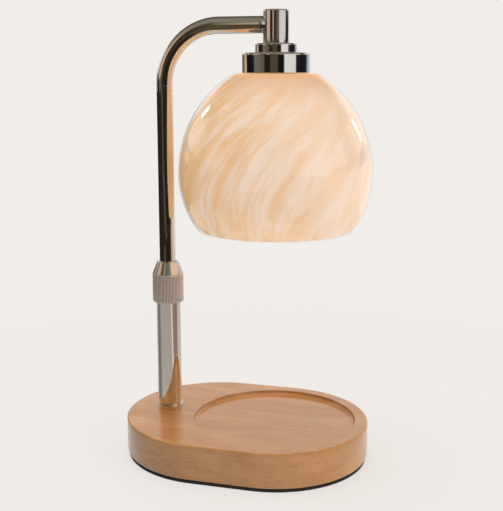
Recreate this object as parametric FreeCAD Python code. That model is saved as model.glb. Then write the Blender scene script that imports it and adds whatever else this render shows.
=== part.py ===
"""Candle warmer lamp: a glass globe shade on a telescoping swing arm over a wooden base.

Millimetres, +Z up. The origin is the centre of the base's underside. +X runs from the post
towards the candle recess, and the cord leaves through the flat flank on +Y.
"""

import FreeCAD
import Part
import math
import os

from FreeCAD import Vector

# Wooden base: a stadium with a round dished seat for the candle.
base_length = 162.0
base_width = 123.4
base_thickness = 23.3
base_top_round = 1.2
base_bottom_round = 2.2
seat_radius = 53.5
seat_depth = 2.6
seat_corner_round = 1.8

# Pad and ballast under the base.
pad_thickness = 1.8
pad_inset = 1.0
plate_thickness = 2.5
plate_margin = 12.0
plate_gap = 0.3
plate_screw_inset = 10.0
screw_shank_radius = 1.5
screw_head_radius = 3.0
screw_length = 9.0

# Cord outlet in the back flank.
outlet_x = -12.0
outlet_rise = 7.5
cord_bore_radius = 3.1
bush_wall = 1.4
bush_length = 9.0
bush_flange_width = 1.6
bush_flange_thickness = 1.5
channel_depth = 9.0

# Fixed post.
post_inset = 26.5
post_radius = 8.0
post_wall = 1.0
post_height = 79.0
foot_ring_radius = 8.5
foot_ring_height = 4.4
foot_ring_groove = 0.3
plug_height = 7.5
rod_radius = 5.0
rod_bore_radius = 3.4
nut_across_flats = 14.0
nut_thickness = 4.0
washer_radius = 10.0
washer_thickness = 1.5
nut_pocket_radius = 14.0
rod_tail = 0.8

# Telescoping clamp at the head of the post.
spigot_length = 8.0
clamp_thread_height = 9.0
clamp_nut_radius = 10.3
clamp_nut_height = 27.4
clamp_skirt = 4.0
knurl_height = 19.0
knurl_grooves = 64
knurl_depth = 0.32
cone_top_radius = 6.9
collar_edge = 1.2
collet_height = 9.5
collet_slots = 4
collet_slot_width = 1.0
collet_top_wall = 0.7

# Arm tube, bent once from upright to level.
arm_tube_radius = 5.25
arm_tube_wall = 1.0
arm_bend_radius = 37.0
arm_axis_z = 279.8
arm_tail_z = 56.0
end_ring_height = 2.0
end_ring_radius = 6.5
guide_bush_height = 9.5

# Lamp head, on the axis of the candle seat.
tee_radius = 8.0
tee_height = 20.2
tee_crown = 8.9
tee_wall = 1.8
tee_edge = 0.9
tee_socket_reach = 1.3
tee_socket_wall = 1.0
neck_radius = 12.9
neck_height = 5.7
neck_edge = 0.9
cap_radius = 21.0
cap_height = 12.4
cap_wall = 1.2
cap_edge = 1.5

# Blown glass shade.
shade_radius = 61.4
shade_upper_round = 73.5
shade_lower_round = 58.1
shade_shoulder_round = 12.0
shade_below_cap = 62.4
shade_mouth_drop = 35.6
shade_wall = 3.0
shade_hole_clearance = 0.5
shade_rim_round = 1.3

# Lampholder and reflector bulb.
holder_radius = 13.6
holder_wall = 1.2
holder_skirt = 22.0
shade_ring_width = 4.6
shade_ring_height = 4.0
insert_height = 12.0
pin_spacing = 10.0
pin_radius = 2.5
pin_length = 7.0
bulb_twist = 30.0
bulb_neck_radius = 10.5
bulb_neck_height = 12.0
bulb_radius = 25.0
bulb_reflector_height = 33.0
bulb_glass = 1.4
lens_thickness = 2.2
capsule_radius = 4.5
capsule_height = 18.0
lead_radius = 1.9
lead_bend_radius = 4.2

# Clearances.
slip = 0.05
running = 0.15
seat = 0.1
stop_gap = 0.3

# Levels and places that follow from the sizes above.
end_radius = base_width / 2
seat_x = base_length / 2 - end_radius
post_x = post_inset - base_length / 2
wood_z = pad_thickness
base_top_z = wood_z + base_thickness
seat_floor_z = base_top_z - seat_depth
outlet_z = wood_z + outlet_rise
post_top_z = base_top_z + post_height
post_bore = post_radius - post_wall
plug_top_z = base_top_z + plug_height
clamp_top_z = post_top_z + clamp_thread_height
clamp_nut_z = post_top_z - clamp_skirt
clamp_nut_top_z = clamp_nut_z + clamp_nut_height
cone_base_z = clamp_nut_z + knurl_height
collet_z = clamp_top_z + seat
collet_bore = arm_tube_radius + slip
nut_inner_radius = post_radius + running
arm_bore = arm_tube_radius - arm_tube_wall
arm_length = seat_x - post_x
tee_top_z = arm_axis_z + tee_crown
tee_bottom_z = tee_top_z - tee_height
cap_top_z = tee_bottom_z - neck_height
cap_bottom_z = cap_top_z - cap_height
shade_top_z = cap_bottom_z - seat
shade_centre_z = cap_bottom_z - shade_below_cap
shade_mouth_z = shade_centre_z - shade_mouth_drop
cap_nut_z = cap_top_z - cap_wall - nut_thickness
holder_top_z = cap_nut_z - seat
holder_bottom_z = shade_top_z - holder_skirt
hole_radius = holder_radius + shade_hole_clearance
insert_z = holder_bottom_z + holder_wall
bulb_top_z = insert_z - slip
bulb_shoulder_z = bulb_top_z - bulb_neck_height
bulb_front_z = bulb_shoulder_z - bulb_reflector_height

UP = Vector(0, 0, 1)


def point(r, z):
    """A point of a profile in the XZ half plane."""
    return Vector(r, 0, z)


def cylinder(radius, z0, z1, x=0.0, y=0.0):
    return Part.makeCylinder(radius, z1 - z0, Vector(x, y, z0), UP)


def tube(outer, inner, z0, z1, x=0.0):
    return cylinder(outer, z0, z1, x).cut(cylinder(inner, z0, z1, x))


def turned(outline, x=0.0, y=0.0):
    """A solid of revolution about the upright axis at x, y. The outline is (radius, z) corners."""
    corners = [point(r, z) for r, z in outline]
    face = Part.Face(Part.makePolygon(corners + corners[:1]))
    solid = face.revolve(Vector(0, 0, 0), UP, 360)
    solid.translate(Vector(x, y, 0))
    return solid


def stadium(length, width, z0, height, inset=0.0):
    """A slab with full round ends, centred on the origin."""
    radius = width / 2 - inset
    half = length / 2 - width / 2
    corners = [Vector(-half, radius, z0), Vector(half, radius, z0),
               Vector(half, -radius, z0), Vector(-half, -radius, z0)]
    edges = [
        Part.LineSegment(corners[0], corners[1]).toShape(),
        Part.Arc(corners[1], Vector(half + radius, 0, z0), corners[2]).toShape(),
        Part.LineSegment(corners[2], corners[3]).toShape(),
        Part.Arc(corners[3], Vector(-half - radius, 0, z0), corners[0]).toShape(),
    ]
    return Part.Face(Part.Wire(edges)).extrude(Vector(0, 0, height))


def level_edges(solid, z, tolerance=1e-3):
    """The edges of a solid that lie wholly in the plane at height z."""
    return [e for e in solid.Edges
            if abs(e.BoundBox.ZMin - z) < tolerance and abs(e.BoundBox.ZMax - z) < tolerance]


def hexagon(across_flats, z0, height, x=0.0):
    radius = across_flats / 2 / math.cos(math.pi / 6)
    corners = [Vector(x + radius * math.cos(k * math.pi / 3), radius * math.sin(k * math.pi / 3), z0)
               for k in range(6)]
    return Part.Face(Part.makePolygon(corners + corners[:1])).extrude(Vector(0, 0, height))


def screw_places():
    """The four screws that hold the ballast plate, at the ends of its straight flanks."""
    half = base_length / 2 - end_radius
    reach = end_radius - plate_margin - plate_screw_inset
    return [(sx * half, sy * reach) for sx in (-1, 1) for sy in (-1, 1)]


def save(name, shape):
    """Writes one named piece and says what it is made of."""
    solids = shape.Solids
    if not solids or not all(s.isValid() and s.Volume > 0 for s in solids):
        raise ValueError(f"{name} is not made of sound solids")
    kept = solids[0] if len(solids) == 1 else Part.makeCompound(solids)
    kept.exportStep(os.path.join("parts", name + ".step"))
    print(f"{name}: {len(solids)} solid(s), {kept.Volume / 1000:.2f} cm3")


def outlet_bush_solid():
    """The rubber bush that lines the cord's way out of the wood, flush with the flank."""
    outer = cord_bore_radius + bush_wall
    flank = end_radius
    z = outlet_z
    back = Vector(0, 1, 0)
    sleeve = Part.makeCylinder(outer, bush_length, Vector(outlet_x, flank - bush_length, z), back)
    flange = Part.makeCylinder(outer + bush_flange_width, bush_flange_thickness,
                               Vector(outlet_x, flank - bush_flange_thickness, z), back)
    bore = Part.makeCylinder(cord_bore_radius, bush_length, Vector(outlet_x, flank - bush_length, z), back)
    return sleeve.fuse(flange).cut(bore).removeSplitter()


def wood_base():
    body = stadium(base_length, base_width, wood_z, base_thickness)
    body = body.makeFillet(base_top_round, level_edges(body, base_top_z))
    body = body.makeFillet(base_bottom_round, level_edges(body, wood_z))
    dish = cylinder(seat_radius, seat_floor_z, base_top_z + 1, seat_x)
    dish = dish.makeFillet(seat_corner_round, level_edges(dish, seat_floor_z))
    body = body.cut(dish)
    plate_room = stadium(base_length, base_width, wood_z, plate_thickness + seat,
                         plate_margin - plate_gap)
    body = body.cut(plate_room)
    pocket_top = wood_z + plate_thickness + channel_depth
    body = body.cut(cylinder(nut_pocket_radius, wood_z, pocket_top, post_x))
    body = body.cut(cylinder(rod_radius + running, wood_z, base_top_z, post_x))
    # The channel runs from the nut's pocket to the outlet bush.
    width = 2 * (cord_bore_radius + bush_wall)
    run_y = end_radius - bush_length
    start = Vector(post_x, 0, wood_z)
    finish = Vector(outlet_x, run_y, wood_z)
    along = finish - start
    length = along.Length
    along.normalize()
    side = UP.cross(along) * (width / 2)
    corners = [start - side, start + side, start + side + along * length, start - side + along * length]
    groove = Part.Face(Part.makePolygon(corners + corners[:1])).extrude(
        Vector(0, 0, plate_thickness + channel_depth))
    elbow = cylinder(width / 2, wood_z, pocket_top, outlet_x, run_y)
    body = body.cut(groove).cut(elbow)
    z = outlet_z
    outer = cord_bore_radius + bush_wall + slip
    back = Vector(0, 1, 0)
    body = body.cut(Part.makeCylinder(outer, bush_length + 1, Vector(outlet_x, run_y - 1, z), back))
    body = body.cut(Part.makeCylinder(outer + bush_flange_width, bush_flange_thickness + slip + 1,
                                      Vector(outlet_x, end_radius - bush_flange_thickness - slip, z), back))
    for x, y in screw_places():
        body = body.cut(cylinder(screw_shank_radius + slip, wood_z, wood_z + screw_length + slip, x, y))
    return body


def base_pad():
    return stadium(base_length, base_width, 0, pad_thickness, pad_inset)


def ballast_plate():
    plate = stadium(base_length, base_width, wood_z, plate_thickness, plate_margin)
    plate = plate.cut(cylinder(nut_pocket_radius, wood_z, wood_z + plate_thickness, post_x))
    for x, y in screw_places():
        plate = plate.cut(turned([(0, wood_z - slip), (screw_head_radius + 2 * slip, wood_z - slip),
                                  (screw_shank_radius + slip, wood_z + plate_thickness / 2 + slip),
                                  (screw_shank_radius + slip, wood_z + plate_thickness + 1),
                                  (0, wood_z + plate_thickness + 1)], x, y))
    return plate


def plate_screws():
    return Part.makeCompound([
        turned([(0, wood_z), (screw_head_radius, wood_z),
                (screw_shank_radius, wood_z + plate_thickness / 2),
                (screw_shank_radius, wood_z + screw_length - screw_shank_radius),
                (0, wood_z + screw_length)], x, y)
        for x, y in screw_places()])


def foot_rod_bottom():
    return wood_z + plate_thickness + channel_depth - washer_thickness - nut_thickness - rod_tail


def foot_washer():
    top = wood_z + plate_thickness + channel_depth
    return tube(washer_radius, rod_radius + running, top - washer_thickness, top, post_x)


def foot_nut():
    top = wood_z + plate_thickness + channel_depth - washer_thickness
    nut = hexagon(nut_across_flats, top - nut_thickness, nut_thickness, post_x)
    return nut.cut(cylinder(rod_radius + slip, top - nut_thickness, top, post_x))


def foot_rod():
    return tube(rod_radius, rod_bore_radius, foot_rod_bottom(), plug_top_z, post_x)


def foot_plug():
    return tube(post_bore - slip, rod_radius + slip, base_top_z, plug_top_z, post_x)


def foot_ring():
    """A turned ferrule round the foot of the post, with a fine groove near its top."""
    inner = post_radius + slip
    top = base_top_z + foot_ring_height
    mid = top - 3 * foot_ring_groove
    return turned([(inner, base_top_z), (foot_ring_radius, base_top_z),
                   (foot_ring_radius, mid - foot_ring_groove), (foot_ring_radius - foot_ring_groove, mid),
                   (foot_ring_radius, mid + foot_ring_groove), (foot_ring_radius, top - foot_ring_groove),
                   (foot_ring_radius - foot_ring_groove, top), (inner, top)], post_x)


def post_tube():
    return tube(post_radius, post_bore, base_top_z, post_top_z, post_x)


def clamp_body():
    """The threaded bush that closes the post and carries the collet on its conical mouth."""
    bore = arm_tube_radius + running
    return turned([(bore, post_top_z - spigot_length), (post_bore - slip, post_top_z - spigot_length),
                   (post_bore - slip, post_top_z), (post_radius, post_top_z),
                   (post_radius, clamp_top_z), (bore, clamp_top_z)], post_x)


def collet_top_radius():
    return collet_bore + collet_top_wall


def clamp_collet():
    """A nylon collet with open slots, squeezed on the arm by the cone inside the nut."""
    top = collet_z + collet_height
    body = turned([(collet_bore, collet_z), (post_radius - running, collet_z),
                   (collet_top_radius(), top), (collet_bore, top)], post_x)
    slot_base = collet_z + collet_height / 4
    for k in range(collet_slots):
        slot = Part.makeBox(post_radius + 1, collet_slot_width, collet_height,
                            Vector(0, -collet_slot_width / 2, slot_base))
        slot.rotate(Vector(0, 0, 0), UP, 45 + k * 360 / collet_slots)
        slot.translate(Vector(post_x, 0, 0))
        body = body.cut(slot)
    return body


def knurled_band():
    """The gripping band: straight grooves round a cylinder, one valley per pitch."""
    corners = []
    for k in range(2 * knurl_grooves):
        radius = clamp_nut_radius - (knurl_depth if k % 2 else 0)
        angle = math.pi * k / knurl_grooves
        corners.append(Vector(post_x + radius * math.cos(angle), radius * math.sin(angle),
                              clamp_nut_z + collar_edge))
    face = Part.Face(Part.makePolygon(corners + corners[:1]))
    return face.extrude(Vector(0, 0, knurl_height - collar_edge))


def clamp_nut():
    """The knurled nut: a grooved band under a bright cone, bored to a cone over the collet."""
    valley = clamp_nut_radius - knurl_depth
    cone = turned([(0, cone_base_z), (clamp_nut_radius, cone_base_z),
                   (cone_top_radius, clamp_nut_top_z - cone_edge()),
                   (cone_top_radius - cone_edge(), clamp_nut_top_z), (0, clamp_nut_top_z)], post_x)
    lip = turned([(0, clamp_nut_z), (valley - collar_edge / 2, clamp_nut_z),
                  (valley, clamp_nut_z + collar_edge), (0, clamp_nut_z + collar_edge)], post_x)
    body = knurled_band().fuse([cone, lip])
    mouth = arm_tube_radius + 2 * running
    cone_start = collet_z
    cone_end = collet_z + collet_height
    hollow = turned([(0, clamp_nut_z - 1), (nut_inner_radius, clamp_nut_z - 1),
                     (nut_inner_radius, cone_start), (collet_top_radius() + running, cone_end),
                     (mouth, cone_end + running), (mouth, clamp_nut_top_z + 1),
                     (0, clamp_nut_top_z + 1)], post_x)
    return body.cut(hollow)


def cone_edge():
    return (cone_top_radius - arm_tube_radius) / 4


def arm_path(tail_z, head_x):
    """The arm's centreline: up the post's axis, round the bend and level to the head."""
    bend_z = arm_axis_z - arm_bend_radius
    bend_x = post_x + arm_bend_radius
    diagonal = arm_bend_radius * math.sqrt(0.5)
    up = Part.LineSegment(Vector(post_x, 0, tail_z), Vector(post_x, 0, bend_z))
    bend = Part.Arc(Vector(post_x, 0, bend_z),
                    Vector(bend_x - diagonal, 0, bend_z + diagonal),
                    Vector(bend_x, 0, arm_axis_z))
    level = Part.LineSegment(Vector(bend_x, 0, arm_axis_z), Vector(head_x, 0, arm_axis_z))
    return [up.toShape(), bend.toShape(), level.toShape()]


def swept(edges, radius, start):
    """A round bar along the path of edges, begun at start looking up."""
    ring = Part.Wire(Part.makeCircle(radius, start, UP))
    return Part.Wire(edges).makePipeShell([ring], True, False)


def arm_tube():
    head_x = seat_x - tee_radius + tee_wall
    path = arm_path(arm_tail_z, head_x)
    start = Vector(post_x, 0, arm_tail_z)
    return swept(path, arm_tube_radius, start).cut(swept(path, arm_bore, start))


def tube_end_ring():
    """The ring pressed round the arm's tail. It pulls the guide bush up against the stop."""
    return tube(end_ring_radius, arm_tube_radius + slip / 2, arm_tail_z, arm_tail_z + end_ring_height, post_x)


def guide_bush():
    z = arm_tail_z + end_ring_height + slip
    return tube(post_bore - running, arm_tube_radius + slip, z, z + guide_bush_height, post_x)


def head_tee():
    """The turned head: a closed cylinder with a short side socket for the arm."""
    body = cylinder(tee_radius, tee_bottom_z, tee_top_z, seat_x)
    body = body.makeFillet(tee_edge, level_edges(body, tee_top_z))
    towards_post = Vector(-1, 0, 0)
    socket_radius = arm_tube_radius + tee_socket_wall
    socket_length = tee_radius + tee_socket_reach
    socket = Part.makeCylinder(socket_radius, socket_length, Vector(seat_x, 0, arm_axis_z), towards_post)
    rim = [e for e in socket.Edges if abs(e.BoundBox.XMax - (seat_x - socket_length)) < 1e-3]
    socket = socket.makeFillet(tee_socket_wall * 0.6, rim)
    body = body.fuse(socket)
    body = body.cut(cylinder(tee_radius - tee_wall, tee_bottom_z + neck_height, tee_top_z - tee_wall, seat_x))
    body = body.cut(cylinder(rod_radius + slip, tee_bottom_z, tee_bottom_z + neck_height, seat_x))
    return body.cut(Part.makeCylinder(arm_tube_radius + slip / 2, socket_length,
                                      Vector(seat_x, 0, arm_axis_z), towards_post))


def head_rod():
    """The hollow threaded rod that ties the tee, the neck, the cap and the lampholder."""
    top = tee_bottom_z + neck_height - seat
    return tube(rod_radius, rod_bore_radius, holder_top_z - holder_boss_depth(), top, seat_x)


def holder_boss_depth():
    return 2 * nut_thickness - holder_wall


def neck_washer():
    body = tube(neck_radius, rod_radius + running, cap_top_z, tee_bottom_z, seat_x)
    rim = [e for e in level_edges(body, tee_bottom_z) if e.Curve.Radius > neck_radius / 2]
    return body.makeFillet(neck_edge, rim)


def shade_cap():
    body = cylinder(cap_radius, cap_bottom_z, cap_top_z, seat_x)
    body = body.makeFillet(cap_edge, level_edges(body, cap_top_z))
    body = body.cut(cylinder(cap_radius - cap_wall, cap_bottom_z, cap_top_z - cap_wall, seat_x))
    return body.cut(cylinder(rod_radius + running, cap_bottom_z, cap_top_z, seat_x))


def cap_nut():
    nut = hexagon(nut_across_flats, cap_nut_z, nut_thickness, seat_x)
    return nut.cut(cylinder(rod_radius + slip, cap_nut_z, cap_nut_z + nut_thickness, seat_x))


def holder_shell():
    """The lampholder's threaded shell, with the boss that takes the rod in its roof."""
    boss_z = holder_top_z - holder_boss_depth()
    return turned([(rod_radius + slip, boss_z), (rod_radius + 2 * holder_wall, boss_z),
                   (rod_radius + 2 * holder_wall, holder_top_z - holder_wall),
                   (holder_radius - holder_wall, holder_top_z - holder_wall),
                   (holder_radius - holder_wall, holder_bottom_z),
                   (holder_radius, holder_bottom_z), (holder_radius, holder_top_z),
                   (rod_radius + slip, holder_top_z)], seat_x)


def pin_slot(turn_from):
    """The curved slot that one bulb pin turns in, from where it locks to where it drops out."""
    depth = pin_length + slip
    width = pin_radius + running
    middle = pin_spacing / 2
    sector = Part.makeCylinder(middle + width, depth, Vector(seat_x, 0, insert_z), UP, bulb_twist)
    slot = sector.cut(cylinder(middle - width, insert_z, insert_z + depth, seat_x))
    slot.rotate(Vector(seat_x, 0, 0), UP, turn_from)
    for angle in (turn_from, turn_from + bulb_twist):
        x = seat_x + middle * math.cos(math.radians(angle))
        y = middle * math.sin(math.radians(angle))
        slot = slot.fuse(cylinder(width, insert_z, insert_z + depth, x, y))
    return slot


def holder_insert():
    """The ceramic insert with the two curved slots that take the bulb's pins."""
    body = cylinder(holder_radius - holder_wall - slip, insert_z, insert_z + insert_height, seat_x)
    return body.cut(pin_slot(90)).cut(pin_slot(270))


def shade_ring():
    """The ring nut that holds the glass up against the cap, knurled by eight finger notches."""
    top = shade_top_z - shade_wall - seat
    outer = holder_radius + shade_ring_width
    body = tube(outer, holder_radius + slip, top - shade_ring_height, top, seat_x)
    for k in range(8):
        angle = k * math.pi / 4
        body = body.cut(cylinder(shade_ring_width / 3, top - shade_ring_height, top,
                                 seat_x + outer * math.cos(angle), outer * math.sin(angle)))
    return body


def shade_outline(offset):
    """The globe's profile, set inward by offset: top flat, upper arc and lower arc to the mouth.

    Both arcs meet level with the globe's widest ring, so the outline has no kink there.
    """
    wide = shade_radius - offset
    upper = shade_upper_round - offset
    lower = shade_lower_round - offset
    upper_x, lower_x = wide - upper, wide - lower
    top_z = shade_top_z - offset
    lean = math.asin((top_z - shade_centre_z) / upper)
    sink = math.asin(shade_mouth_drop / lower)
    corner = point(upper_x + upper * math.cos(lean), top_z)
    equator = point(wide, shade_centre_z)
    mouth = point(lower_x + lower * math.cos(sink), shade_mouth_z)
    upper_middle = point(upper_x + upper * math.cos(lean / 2), shade_centre_z + upper * math.sin(lean / 2))
    lower_middle = point(lower_x + lower * math.cos(sink / 2), shade_centre_z - lower * math.sin(sink / 2))
    edges = [Part.LineSegment(point(hole_radius, top_z), corner).toShape(),
             Part.Arc(corner, upper_middle, equator).toShape(),
             Part.Arc(equator, lower_middle, mouth).toShape()]
    return edges, point(hole_radius, top_z), mouth


def glass_shade():
    """The blown globe: a shell of even wall with a round hole in its top flat."""
    outer, outer_top, outer_mouth = shade_outline(0)
    inner, inner_top, inner_mouth = shade_outline(shade_wall)
    rims = [Part.LineSegment(inner_top, outer_top).toShape(),
            Part.LineSegment(inner_mouth, outer_mouth).toShape()]
    wire = Part.Wire(Part.__sortEdges__(outer + inner + rims))
    solid = Part.Solid(Part.Face(wire).revolve(Vector(0, 0, 0), UP, 360))
    for offset in (0, shade_wall):
        corner = [e for e in level_edges(solid, shade_top_z - offset)
                  if e.BoundBox.XMax > hole_radius + shade_wall]
        solid = solid.makeFillet(shade_shoulder_round - offset, corner)
    solid = solid.makeFillet(shade_rim_round, level_edges(solid, shade_mouth_z))
    solid.translate(Vector(seat_x, 0, 0))
    return solid


def bulb_base():
    return cylinder(bulb_neck_radius, bulb_shoulder_z, bulb_top_z, seat_x)


def bulb_pins():
    return Part.makeCompound([
        cylinder(pin_radius, bulb_top_z, bulb_top_z + pin_length, seat_x, side * pin_spacing / 2)
        for side in (-1, 1)])


def reflector_curve(radius_gain, top_trim):
    """The dish's flank from the neck to the front, as one arc that swells early."""
    top = bulb_shoulder_z - top_trim
    bottom = bulb_front_z + lens_thickness
    spread = bulb_radius - bulb_neck_radius
    start = point(bulb_neck_radius + radius_gain, top)
    middle = point(bulb_neck_radius + spread * 0.62 + radius_gain, top - (top - bottom) * 0.38)
    finish = point(bulb_radius + radius_gain, bottom)
    return Part.Arc(start, middle, finish).toShape(), start, finish


def bulb_reflector():
    """The dichroic glass dish of the bulb, open at the front."""
    outer, outer_top, outer_front = reflector_curve(0, slip)
    inner, inner_top, inner_front = reflector_curve(-bulb_glass, slip + bulb_glass)
    floor = point(0, inner_top.z)
    roof = point(0, outer_top.z)
    edges = [outer, inner,
             Part.LineSegment(outer_top, roof).toShape(), Part.LineSegment(roof, floor).toShape(),
             Part.LineSegment(floor, inner_top).toShape(),
             Part.LineSegment(inner_front, outer_front).toShape()]
    wire = Part.Wire(Part.__sortEdges__(edges))
    solid = Part.Solid(Part.Face(wire).revolve(Vector(0, 0, 0), UP, 360))
    solid.translate(Vector(seat_x, 0, 0))
    return solid


def bulb_lens():
    """The front glass, gently crowned."""
    edge_z = bulb_front_z + lens_thickness - slip
    centre = bulb_front_z - lens_thickness / 2
    outer = bulb_radius
    crown = Part.Arc(point(-outer, bulb_front_z), point(0, centre), point(outer, bulb_front_z))
    middle = crown.value(crown.parameter(point(0, centre)) * 0.5
                         + crown.parameter(point(outer, bulb_front_z)) * 0.5)
    edges = [
        Part.Arc(point(0, centre), middle, point(outer, bulb_front_z)).toShape(),
        Part.LineSegment(point(outer, bulb_front_z), point(outer, edge_z)).toShape(),
        Part.LineSegment(point(outer, edge_z), point(0, edge_z)).toShape(),
        Part.LineSegment(point(0, edge_z), point(0, centre)).toShape(),
    ]
    solid = Part.Solid(Part.Face(Part.Wire(edges)).revolve(Vector(0, 0, 0), UP, 360))
    solid.translate(Vector(seat_x, 0, 0))
    return solid


def bulb_capsule():
    """The halogen capsule on the bulb's axis."""
    top = bulb_shoulder_z - slip - bulb_glass - slip
    body = cylinder(capsule_radius, top - capsule_height, top, seat_x)
    return body.makeFillet(capsule_radius * 0.9, level_edges(body, top - capsule_height))


def arm_lead():
    """The twin lead inside the arm, from the lampholder's insert to the arm's tail."""
    start = Vector(seat_x, 0, insert_z + insert_height + stop_gap)
    turn_z = arm_axis_z - lead_bend_radius
    turn_x = seat_x - lead_bend_radius
    diagonal = lead_bend_radius * math.sqrt(0.5)
    up = Part.LineSegment(start, Vector(seat_x, 0, turn_z)).toShape()
    turn = Part.Arc(Vector(seat_x, 0, turn_z), Vector(turn_x + diagonal, 0, turn_z + diagonal),
                    Vector(turn_x, 0, arm_axis_z)).toShape()
    level = arm_path(arm_tail_z, turn_x)
    return swept([up, turn] + level[::-1], lead_radius, start)


PIECES = {
    "wood_base": wood_base, "base_pad": base_pad, "ballast_plate": ballast_plate,
    "plate_screws": plate_screws, "cord_bush": outlet_bush_solid,
    "foot_washer": foot_washer, "foot_nut": foot_nut, "foot_rod": foot_rod,
    "foot_plug": foot_plug, "foot_ring": foot_ring, "post_tube": post_tube,
    "clamp_body": clamp_body, "clamp_collet": clamp_collet, "clamp_nut": clamp_nut,
    "guide_bush": guide_bush, "arm_tube": arm_tube, "tube_end_ring": tube_end_ring,
    "head_tee": head_tee, "head_rod": head_rod, "neck_washer": neck_washer,
    "shade_cap": shade_cap, "cap_nut": cap_nut, "holder_shell": holder_shell,
    "holder_insert": holder_insert, "shade_ring": shade_ring, "glass_shade": glass_shade,
    "bulb_base": bulb_base, "bulb_pins": bulb_pins, "bulb_reflector": bulb_reflector,
    "bulb_lens": bulb_lens, "bulb_capsule": bulb_capsule, "arm_lead": arm_lead,
}


def main():
    os.makedirs("parts", exist_ok=True)
    for name, make in PIECES.items():
        save(name, make())
    bush_top = arm_tail_z + end_ring_height + slip + guide_bush_height
    rise = post_top_z - spigot_length - bush_top - stop_gap
    drop = arm_tail_z - plug_top_z - stop_gap
    print(f"the arm rises {rise:.2f} mm and drops {drop:.2f} mm from rest")


main()
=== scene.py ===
"""Looks of a candle warmer lamp: marbled glass globe, polished nickel arm and post, oiled beech base.

Sizes in the classes are millimetres unless a name says otherwise; meshes are written in metres.
"""

import logging
from dataclasses import dataclass
from enum import Enum
from math import asin, atan2, cos, pi, radians, sin, sqrt, tan, tau
from typing import Any, ClassVar, Optional, Sequence

import bmesh
import bpy
from mathutils import Matrix, Vector


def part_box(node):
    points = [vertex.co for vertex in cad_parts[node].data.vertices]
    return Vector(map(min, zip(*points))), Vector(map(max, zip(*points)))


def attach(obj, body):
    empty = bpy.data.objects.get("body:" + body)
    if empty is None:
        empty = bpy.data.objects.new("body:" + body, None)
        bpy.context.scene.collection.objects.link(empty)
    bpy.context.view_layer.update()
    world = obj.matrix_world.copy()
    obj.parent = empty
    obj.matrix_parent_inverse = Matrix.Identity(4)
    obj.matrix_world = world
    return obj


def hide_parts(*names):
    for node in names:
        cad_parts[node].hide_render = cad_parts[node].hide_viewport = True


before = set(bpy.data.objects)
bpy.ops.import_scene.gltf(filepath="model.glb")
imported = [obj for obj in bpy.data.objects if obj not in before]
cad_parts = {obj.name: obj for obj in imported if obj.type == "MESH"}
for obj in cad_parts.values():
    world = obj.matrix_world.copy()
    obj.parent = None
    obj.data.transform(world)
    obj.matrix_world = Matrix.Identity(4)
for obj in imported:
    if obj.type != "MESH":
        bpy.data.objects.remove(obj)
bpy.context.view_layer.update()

LOG = logging.getLogger("candle_warmer_lamp")
MM = 0.001

Profile = list[tuple[float, float]]
Colour = tuple[float, float, float]
Stops = Sequence[tuple[float, int, int, int]]


class Body(Enum):
    """The rigid bodies that pieces ride on."""

    BASE = "base"
    NUT = "nut"
    GUIDE = "guide"
    ARM = "arm"
    BULB = "bulb"


class Slot(Enum):
    """The record's material slot names, for new pieces."""

    NICKEL = "nickel"
    KNURLED_NICKEL = "knurled_nickel"
    MARBLED_GLASS = "marbled_glass"


def srgb(red: int, green: int, blue: int) -> Colour:
    """Turns an 8-bit screen colour into scene-linear values."""
    shares = (level / 255 for level in (red, green, blue))
    return tuple(share / 12.92 if share <= 0.04045 else ((share + 0.055) / 1.055) ** 2.4 for share in shares)


def shaded(colour: Colour, share: float, lift: float = 0.0) -> Colour:
    """The colour times a share, lifted evenly."""
    return tuple(channel * share + lift for channel in colour)


def placed(name: str, data: bpy.types.ID) -> bpy.types.Object:
    """Makes an object of a mesh, light or camera and links it into the scene."""
    made = bpy.data.objects.new(name, data)
    bpy.context.scene.collection.objects.link(made)
    return made


PAPER = srgb(241, 237, 233)
BLACK = (0.0, 0.0, 0.0)
WHITE = (1.0, 1.0, 1.0)


class Signal:
    """A node's output that answers arithmetic with Math nodes."""

    def __init__(self, graph: "ShaderGraph", socket: Optional[bpy.types.NodeSocket]) -> None:
        """Keeps the graph and the wrapped socket."""
        self.graph = graph
        self.socket = socket

    def _math(self, operation: str, *values: Any) -> "Signal":
        """Adds one Math node over the given values."""
        return self.graph.add("ShaderNodeMath", {"operation": operation}, dict(enumerate(values)))

    def __add__(self, other: Any) -> "Signal":
        """self + other."""
        return self._math("ADD", self, other)

    __radd__ = __add__

    def __mul__(self, other: Any) -> "Signal":
        """self * other."""
        return self._math("MULTIPLY", self, other)

    __rmul__ = __mul__

    def __sub__(self, other: Any) -> "Signal":
        """self - other."""
        return self._math("SUBTRACT", self, other)

    def __rsub__(self, other: Any) -> "Signal":
        """other - self."""
        return self._math("SUBTRACT", other, self)

    def __truediv__(self, other: Any) -> "Signal":
        """self / other."""
        return self._math("DIVIDE", self, other)

    def __pow__(self, other: Any) -> "Signal":
        """self ** other."""
        return self._math("POWER", self, other)

    def apply(self, name: str, *others: Any) -> "Signal":
        """Any other Math operation by its name, such as MINIMUM or ABSOLUTE."""
        return self._math(name, self, *others)

    def ramp(self, low: float, high: float) -> "Signal":
        """Rises smoothly from 0 at low to 1 at high."""
        return self.graph.add("ShaderNodeMapRange", {"interpolation_type": "SMOOTHSTEP"},
                              {0: self, 1: low, 2: high, 3: 0.0, 4: 1.0})


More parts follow.
